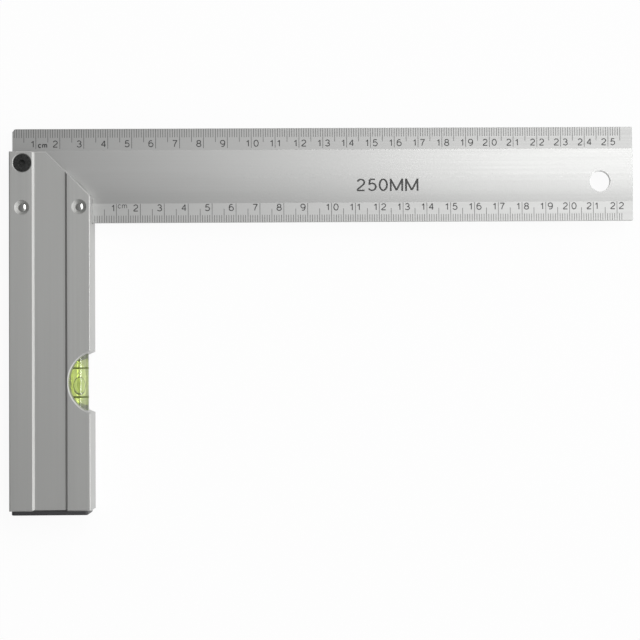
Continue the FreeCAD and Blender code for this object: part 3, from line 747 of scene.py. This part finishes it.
def make_tongue():
    """The hollow tongue, open at the end that goes into the stock."""
    bm = bmesh.new()
    add_block(bm, TONGUE_LOW, TONGUE_HIGH)
    round_edges(bm, edges_along(bm, 1, lambda at: True), TONGUE_CORNER, 3)
    mouth = [face for face in bm.faces if face.normal.y > 0.9]
    bmesh.ops.inset_region(bm, faces=mouth, thickness=TONGUE_WALL)
    pushed = bmesh.ops.extrude_face_region(bm, geom=mouth)["geom"]
    bmesh.ops.delete(bm, geom=mouth, context="FACES")
    floor = [item for item in pushed if isinstance(item, bmesh.types.BMVert)]
    depth = TONGUE_HIGH.y - TONGUE_LOW.y - TONGUE_FLOOR
    bmesh.ops.translate(bm, verts=floor, vec=(0, -depth, 0))
    return bm


def make_cap():
    """The flange with its tongue."""
    bm = make_flange()
    join_into(bm, make_tongue())
    return bm


finish_piece("end_cap_moulded", make_cap(), [make_cap_plastic()], node="end_cap")

# Vial: a clear acrylic tube with a barrel of yellow-green spirit and an air bubble, closed by a
# plug and held by a rubber stop at each end. It lies in the channel behind the half-round window.
# Acrylic and spirit bend light almost alike, so only the tube's outside and the bubble show.
VIAL_AT = (-5.4 * MM, -66.55 * MM, 0)
ALONG_VIAL = (0, 1, 0)
VIAL_STEPS = 128
VIAL_RADIUS = 3.7 * MM
VIAL_BORE = 2.9 * MM
VIAL_HALF = 17.0 * MM
VIAL_WALL = 1.5 * MM
VIAL_EASE = 0.3 * MM
PLUG_LENGTH = 3.0 * MM
SLIP = 0.02 * MM
BUBBLE_HALF = (2.15 * MM, 3.8 * MM, 1.5 * MM)
BUBBLE_AT = (0.0, -1.35 * MM, 1.25 * MM)
INDEX_FROM_MIDDLE = 6.025 * MM
INDEX_HALF = 0.30 * MM
INDEX_PROUD = 0.03 * MM
ACRYLIC_COLOUR = (0.70, 0.83, 0.30)
SPIRIT_COLOUR = (0.95, 0.97, 0.72)
BUBBLE_COLOUR = (0.96, 1.0, 0.85)
NO_COLOUR = (1.0, 1.0, 1.0)
INDEX_COLOUR = (0.075, 0.105, 0.008)
PLUG_COLOUR = (0.70, 0.74, 0.62)
RUBBER_COLOUR = (0.55, 0.56, 0.52)


def clear_material(name, colour, bend, faint, blur=0.0, clear=1.0):
    """A clear material whose bend is its refractive index, with a faint unevenness in its tint.

    The share that isn't clear scatters light, as dyed acrylic does.
    """
    made, tree, shader = new_material(name)
    shader.inputs["Transmission Weight"].default_value = clear
    shader.inputs["IOR"].default_value = bend
    shader.inputs["Roughness"].default_value = blur
    cloud = grain(tree, (120, 60, 120), detail=2.0)
    tint(tree, colour, between(tree, cloud, 1.0 - faint, 1.0), shader)
    return made


def make_acrylic():
    """Clear acrylic, polished so that its skin mirrors more than its body."""
    made = clear_material("clear_acrylic", ACRYLIC_COLOUR, 1.47, 0.05, blur=0.10, clear=0.94)
    polish = made.node_tree.nodes["Principled BSDF"]
    polish.inputs["Coat Weight"].default_value = 0.9
    polish.inputs["Coat Roughness"].default_value = 0.16
    polish.inputs["Coat IOR"].default_value = 1.65
    return made


def make_tube():
    """The tube, closed at its upper end. Its bore is the second material."""
    profile = [
        (0, VIAL_HALF),
        (VIAL_RADIUS - VIAL_EASE, VIAL_HALF),
        (VIAL_RADIUS, VIAL_HALF - VIAL_EASE),
        (VIAL_RADIUS, -VIAL_HALF + VIAL_EASE),
        (VIAL_RADIUS - VIAL_EASE, -VIAL_HALF),
        (VIAL_BORE, -VIAL_HALF),
        (VIAL_BORE, VIAL_HALF - VIAL_WALL),
        (0, VIAL_HALF - VIAL_WALL),
    ]
    bm = lathe(profile, VIAL_STEPS, ALONG_VIAL, VIAL_AT)
    for face in bm.faces:
        middle = face.calc_center_median() - Vector(VIAL_AT)
        inside = math.hypot(middle.x, middle.z) < VIAL_BORE + SLIP
        if inside and middle.y < VIAL_HALF - VIAL_WALL / 2:
            face.material_index = 1
    return bm


def make_spirit():
    """The barrel of spirit, hollowed by the bubble. The bubble's skin is the second material."""
    foot = -VIAL_HALF + PLUG_LENGTH + SLIP
    top = VIAL_HALF - VIAL_WALL - SLIP
    radius = VIAL_BORE - SLIP
    barrel = [(0, foot), (radius, foot), (radius, top), (0, top)]
    bm = lathe(barrel, VIAL_STEPS, ALONG_VIAL, VIAL_AT)
    outside = set(bm.faces)
    size = Matrix.Diagonal((*BUBBLE_HALF, 1.0))
    place = Matrix.Translation(Vector(VIAL_AT) + Vector(BUBBLE_AT))
    bmesh.ops.create_uvsphere(bm, u_segments=64, v_segments=32, radius=1.0, matrix=place @ size)
    bubble = [face for face in bm.faces if face not in outside]
    bmesh.ops.reverse_faces(bm, faces=bubble)
    for face in bubble:
        face.material_index = 1
    return bm


def make_index_bands():
    """Two dark rings round the tube, set for the bubble to lie between them."""
    bm = bmesh.new()
    inner = VIAL_RADIUS - INDEX_PROUD
    outer = VIAL_RADIUS + INDEX_PROUD
    for side in (-1, 1):
        low = side * INDEX_FROM_MIDDLE - INDEX_HALF
        high = side * INDEX_FROM_MIDDLE + INDEX_HALF
        ring = [(inner, low), (outer, low), (outer, high), (inner, high), (inner, low)]
        join_into(bm, lathe(ring, VIAL_STEPS, ALONG_VIAL, VIAL_AT))
    return bm


tube_materials = [make_acrylic(), clear_material("wetted_bore", NO_COLOUR, 1.0, 0.0)]
spirit = clear_material("yellow_green_spirit", SPIRIT_COLOUR, 1.0, 0.06)
bubble_skin = clear_material("bubble_skin", BUBBLE_COLOUR, 1.25, 0.02)
index_ink = make_ink("index_ink", INDEX_COLOUR)
finish_piece("vial_tube_clear", make_tube(), tube_materials, node="vial_tube")
finish_piece("vial_spirit", make_spirit(), [spirit, bubble_skin], node="vial_liquid")
finish_piece("vial_index_bands", make_index_bands(), [index_ink])


def dress_node(node, made):
    """Gives a CAD node its finish."""
    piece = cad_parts[node]
    piece.data.materials.clear()
    piece.data.materials.append(made)


def moulded(name, colour, roughness, texture):
    """A moulded or cut soft material with a fine texture."""
    made, tree, shader = new_material(name)
    fine = grain(tree, (texture, texture, texture), detail=3.0)
    tint(tree, colour, between(tree, fine, 0.85, 1.15), shader)
    tree.links.new(between(tree, fine, roughness - 0.06, roughness + 0.06), shader.inputs["Roughness"])
    emboss(tree, fine, 0.01 * MM, shader)
    return made


dress_node("vial_plug", moulded("plug_plastic", PLUG_COLOUR, 0.3, 900))
rubber = moulded("stop_rubber", RUBBER_COLOUR, 0.75, 1800)
for node in ("vial_stop_upper", "vial_stop_lower"):
    dress_node(node, rubber)

# Studio: a white table and a tent that is dim overhead, bright along the right and dark along the
# left. One long strip light hangs high up, 18 degrees to the right and running up the picture.
FLOOR_SIZE = 4.0
FLOOR_BELOW = 0.02 * MM
FLOOR_COLOUR = (0.80, 0.80, 0.80)
TENT_SHADES = ((0.0, 0.12), (0.40, 0.20), (0.56, 0.25), (0.80, 1.55), (0.95, 2.10))
SHADOW_SHARE = 0.06
VIAL_SHADOW_SHARE = 0.58
STRIP_PLACE = (0.508, 0.46, 1.55)
STRIP_TARGET = (0.03, 0.0, 0.0)
STRIP_WIDTH = 0.22
STRIP_LENGTH = 1.30
STRIP_BRIGHTNESS = 12.3


def make_floor_material():
    """White paint. The camera, the metal and the vial see it as white with soft shadows on it."""
    made, tree, shader = new_material("white_table")
    tint(tree, FLOOR_COLOUR, between(tree, grain(tree, (3, 3, 3)), 0.98, 1.0), shader)
    shader.inputs["Roughness"].default_value = 0.9
    glow = add_node(tree, "ShaderNodeEmission", {"Color": (1, 1, 1, 1), "Strength": 1.0})
    rays = add_node(tree, "ShaderNodeLightPath")
    share = between(tree, rays.outputs["Is Transmission Ray"], SHADOW_SHARE, VIAL_SHADOW_SHARE, 0.0, 1.0)
    blend = add_node(tree, "ShaderNodeMixShader")
    tree.links.new(share, blend.inputs["Fac"])
    tree.links.new(glow.outputs["Emission"], blend.inputs[1])
    tree.links.new(shader.outputs["BSDF"], blend.inputs[2])
    seen = combine(tree, rays.outputs["Is Camera Ray"], rays.outputs["Is Glossy Ray"], "MAXIMUM")
    seen = combine(tree, seen, rays.outputs["Is Transmission Ray"], "MAXIMUM")
    choose = add_node(tree, "ShaderNodeMixShader")
    tree.links.new(seen, choose.inputs["Fac"])
    tree.links.new(shader.outputs["BSDF"], choose.inputs[1])
    tree.links.new(blend.outputs["Shader"], choose.inputs[2])
    tree.links.new(choose.outputs["Shader"], tree.nodes["Material Output"].inputs["Surface"])
    return made


def hang(lamp, place, target):
    """Hangs a lamp at a place, facing a target, with its long side running up the picture."""
    back = (Vector(place) - Vector(target)).normalized()
    across = Vector((0, 1, 0)).cross(back).normalized()
    lamp.location = place
    lamp.rotation_euler = Matrix((across, back.cross(across), back)).transposed().to_euler()


def make_strip_light():
    """The strip light. Its brightness is that of its face, where 1 is white."""
    lamp = bpy.data.lights.new("strip_light", "AREA")
    lamp.shape = "RECTANGLE"
    lamp.size = STRIP_WIDTH
    lamp.size_y = STRIP_LENGTH
    lamp.energy = STRIP_BRIGHTNESS * math.pi * STRIP_WIDTH * STRIP_LENGTH
    strip = bpy.data.objects.new("strip_light", lamp)
    bpy.context.scene.collection.objects.link(strip)
    hang(strip, STRIP_PLACE, STRIP_TARGET)
    strip.visible_camera = False


def make_tent():
    """The world. Its shade runs from the left horizon, over the top, to the right horizon."""
    world = bpy.data.worlds.new("tent")
    world.use_nodes = True
    tree = world.node_tree
    way = add_node(tree, "ShaderNodeTexCoord")
    split = add_node(tree, "ShaderNodeSeparateXYZ")
    tree.links.new(way.outputs["Generated"], split.inputs["Vector"])
    across = between(tree, split.outputs["X"], 0.0, 1.0, start=-1.0, end=1.0)
    ramp = add_node(tree, "ShaderNodeValToRGB")
    stops = ramp.color_ramp.elements
    while len(stops) < len(TENT_SHADES):
        stops.new(0.5)
    brightest = max(shade for place, shade in TENT_SHADES)
    for stop, (place, shade) in zip(stops, TENT_SHADES):
        stop.position = place
        stop.color = (shade / brightest, shade / brightest, shade / brightest, 1.0)
    tree.links.new(across, ramp.inputs["Fac"])
    tree.links.new(ramp.outputs["Color"], tree.nodes["Background"].inputs["Color"])
    tree.nodes["Background"].inputs["Strength"].default_value = brightest
    bpy.context.scene.world = world


def make_table():
    """The table top, just under the square's back."""
    bm = bmesh.new()
    bmesh.ops.create_grid(bm, x_segments=1, y_segments=1, size=FLOOR_SIZE / 2)
    bmesh.ops.translate(bm, verts=bm.verts, vec=(0, 0, cad_low.z - FLOOR_BELOW))
    mesh = bpy.data.meshes.new("table_top")
    bm.to_mesh(mesh)
    bm.free()
    mesh.materials.append(make_floor_material())
    table = bpy.data.objects.new("table_top", mesh)
    bpy.context.scene.collection.objects.link(table)


make_table()
make_tent()
make_strip_light()
bpy.context.scene.view_settings.view_transform = "Standard"

# Camera: almost straight above the square, 0.7 m away, as the photograph was taken.
CAMERA_PLACE = (82.022 * MM, -61.593 * MM, 700.77 * MM)
CAMERA_TURN = (0.0293, -0.0183, -0.0061)
SENSOR = 36.0
IMAGE_WIDTH = 640
FOCAL_PIXELS = 1675.12

lens = bpy.data.cameras.new("camera")
lens.sensor_width = SENSOR
lens.lens = SENSOR * FOCAL_PIXELS / IMAGE_WIDTH
lens.clip_start = 0.01
lens.clip_end = 20.0
camera = bpy.data.objects.new("camera", lens)
bpy.context.scene.collection.objects.link(camera)
camera.rotation_mode = "ZYX"
camera.location = CAMERA_PLACE
camera.rotation_euler = CAMERA_TURN
bpy.context.scene.camera = camera
